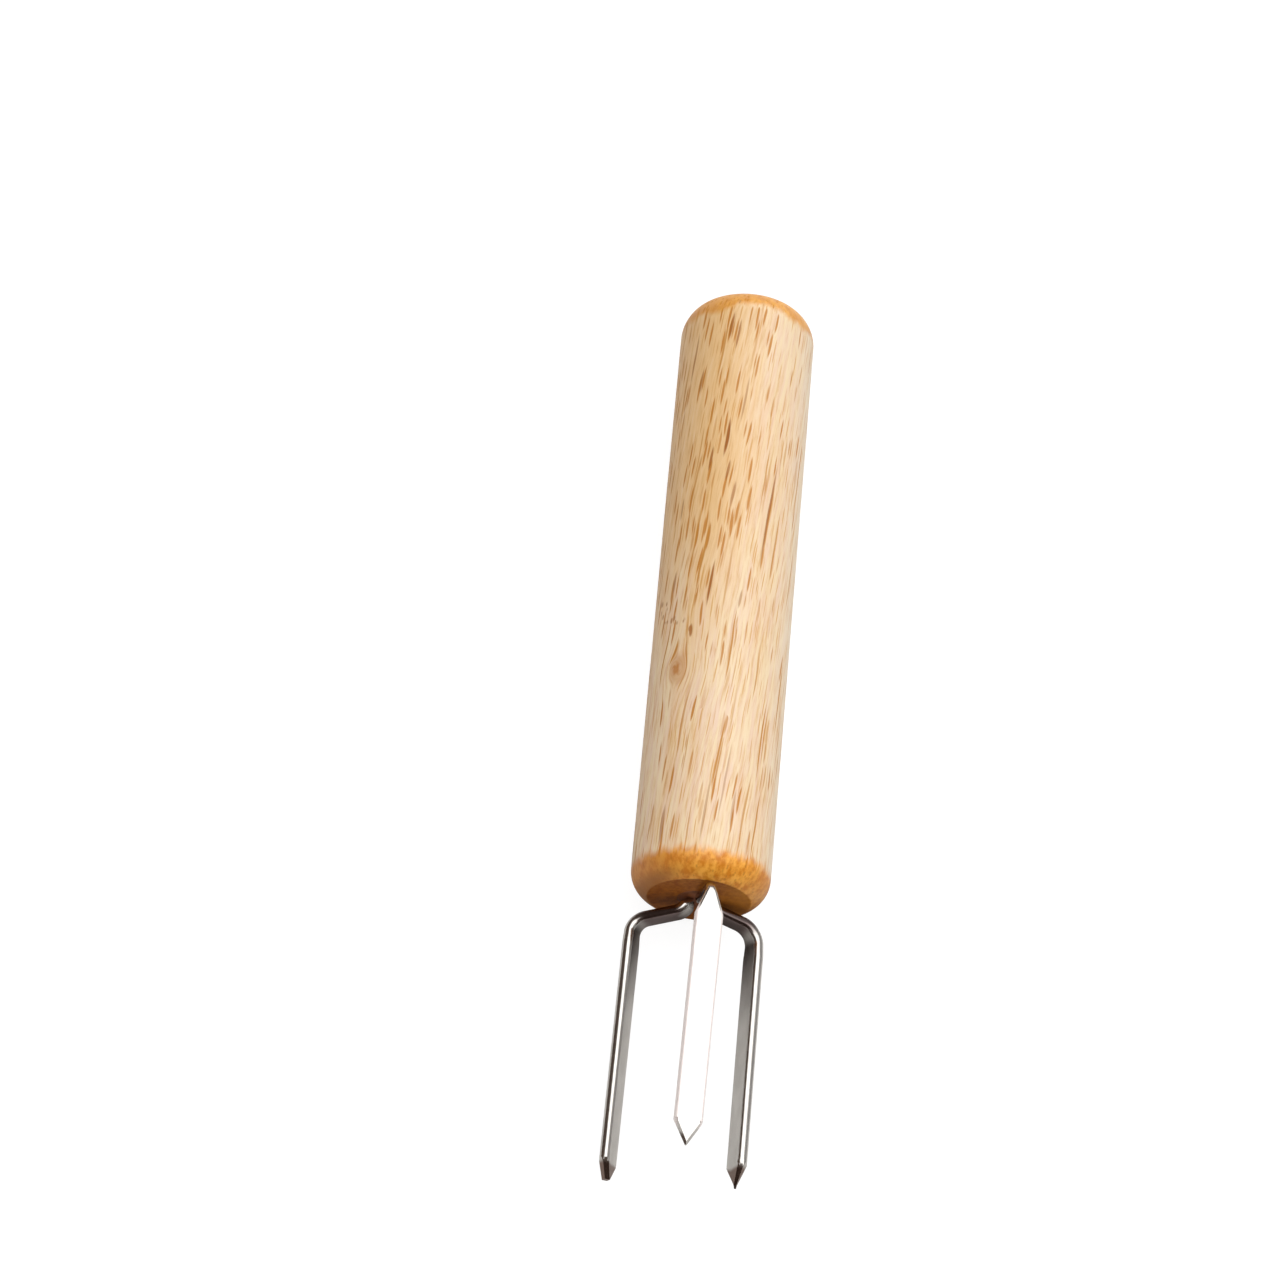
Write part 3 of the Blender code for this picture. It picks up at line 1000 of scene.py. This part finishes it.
def make_camera():
    azimuth, elevation, roll = (
        math.radians(angle) for angle in (CAMERA_AZIMUTH, CAMERA_ELEVATION, CAMERA_ROLL)
    )
    back = Vector((
        math.sin(azimuth) * math.cos(elevation),
        -math.cos(azimuth) * math.cos(elevation),
        math.sin(elevation),
    ))
    right = Vector((math.cos(azimuth), math.sin(azimuth), 0.0))
    over = back.cross(right)
    rolled_right = right * math.cos(roll) + over * math.sin(roll)
    rolled_over = over * math.cos(roll) - right * math.sin(roll)
    turn = Matrix((rolled_right, rolled_over, back)).transposed()
    aim = Vector((0.0, FRONT_FACE_Y, AXIS_HEIGHT)) + AIM_FROM_FRONT_FACE
    data = bpy.data.cameras.new("camera")
    data.sensor_width = SENSOR_WIDTH
    data.lens = CAMERA_LENS
    data.clip_start = CLIP_START
    data.clip_end = CLIP_END
    camera = bpy.data.objects.new("camera", data)
    camera.matrix_world = Matrix.Translation(aim + back * CAMERA_DISTANCE) @ turn.to_4x4()
    bpy.context.scene.collection.objects.link(camera)
    bpy.context.scene.camera = camera


def floor_sheet(name, height, material):
    """A wide flat sheet in one material, which isn't part of the fork."""
    mesh = bpy.data.meshes.new(name)
    corners = [
        (x * FLOOR_HALF_SIZE, y * FLOOR_HALF_SIZE, height)
        for x, y in ((-1, -1), (1, -1), (1, 1), (-1, 1))
    ]
    mesh.from_pydata(corners, [], [(0, 1, 2, 3)])
    mesh.materials.append(material)
    made = bpy.data.objects.new(name, mesh)
    bpy.context.scene.collection.objects.link(made)
    return made


def table_material(name):
    """A matt material, and its nodes and shader."""
    material, n, shader = new_material(name)
    shader.inputs["Roughness"].default_value = 1.0
    shader.inputs["Specular IOR Level"].default_value = 0.0
    return material, n, shader


def make_seen_floor():
    """The white table that the lens sees. It glows, so that it stays white."""
    material, _, shader = table_material("white_table")
    shader.inputs["Base Color"].default_value = FLOOR_GREY
    shader.inputs["Emission Color"].default_value = FLOOR_GLOW
    shader.inputs["Emission Strength"].default_value = FLOOR_GLOW_STRENGTH
    seen = floor_sheet("floor", -FLOOR_DEPTH, material)
    seen.visible_diffuse = False
    seen.visible_glossy = False
    seen.visible_shadow = False


def make_floor_bounce():
    """The table that lights the fork from below, in shade round the front face."""
    material, n, shader = table_material("white_table_bounce")
    place = n.split(n.add("ShaderNodeTexCoord").outputs["Object"])
    ahead = n.times(n.minus(FRONT_FACE_Y, place[1]), 1 / MM)
    shade = n.times(n.ramp(ahead, *SHADE_AHEAD), n.ramp(ahead, *SHADE_BEHIND))
    shade = n.times(shade, n.ramp(n.unsigned(place[0]), *SHADE_ASIDE))
    shade = n.times(shade, n.ramp(place[0], *SHADE_TO_RIGHT, SHADE_ON_LEFT, 1.0))
    n.feed(shader.inputs["Base Color"], n.mix(shade, BOUNCE_WHITE, BOUNCE_SHADE))
    floor_sheet("floor_bounce", -BOUNCE_DEPTH, material).visible_camera = False


def make_light():
    """A long soft light overhead and behind, a dim warm room and a pale wall to the right.

    The lens sees white where the fork and the table end.
    """
    world = bpy.data.worlds.new("studio")
    bpy.context.scene.world = world
    world.use_nodes = True
    world.node_tree.nodes.clear()
    n = Nodes(world.node_tree)
    way = n.split(n.add("ShaderNodeTexCoord").outputs["Generated"])
    slant = n.math("DIVIDE", way[0], n.larger(way[2], LOWEST_UPWARDS))
    soft = n.times(n.ramp(slant, *SOFT_LEFT_EDGE), n.ramp(slant, *SOFT_RIGHT_EDGE))
    soft = n.times(soft, n.ramp(way[2], *SOFT_LOW_EDGE))
    soft = n.times(soft, n.ramp(way[1], *SOFT_FRONT_EDGE))
    wall = n.times(n.ramp(way[0], *WALL_LEFT_EDGE), n.ramp(way[2], *WALL_LOW_EDGE))
    wall = n.times(wall, n.ramp(way[1], *WALL_FRONT_EDGE))
    studio = n.add("ShaderNodeBackground")
    n.feed(studio.inputs["Color"], n.mix(soft, n.mix(wall, ROOM_LIGHT, WALL_LIGHT), SOFT_LIGHT))
    backdrop = n.add("ShaderNodeBackground")
    n.feed(backdrop.inputs["Color"], BACKDROP_WHITE)
    chosen = n.add("ShaderNodeMixShader")
    n.feed(chosen.inputs[0], n.add("ShaderNodeLightPath").outputs["Is Camera Ray"])
    n.feed(chosen.inputs[1], studio.outputs[0])
    n.feed(chosen.inputs[2], backdrop.outputs[0])
    output = n.add("ShaderNodeOutputWorld")
    n.feed(output.inputs["Surface"], chosen.outputs[0])


# ---------------------------------------------------------------------------------------------

make_camera()
make_seen_floor()
make_floor_bounce()
make_light()
bpy.context.scene.view_settings.view_transform = "Standard"

handle = make_handle(wood_material())
side_steel = steel_material("polished_steel_painted_shade", edge_roughness_and_light=0.0, tip_darkness=0.85)
top_steel = steel_material("brushed_edge_steel_painted_light", edge_roughness_and_light=0.5, tip_darkness=0.0)
tines = make_tines({"top_tine": top_steel, "left_tine": side_steel, "right_tine": side_steel})
glue = make_glue(glue_material())
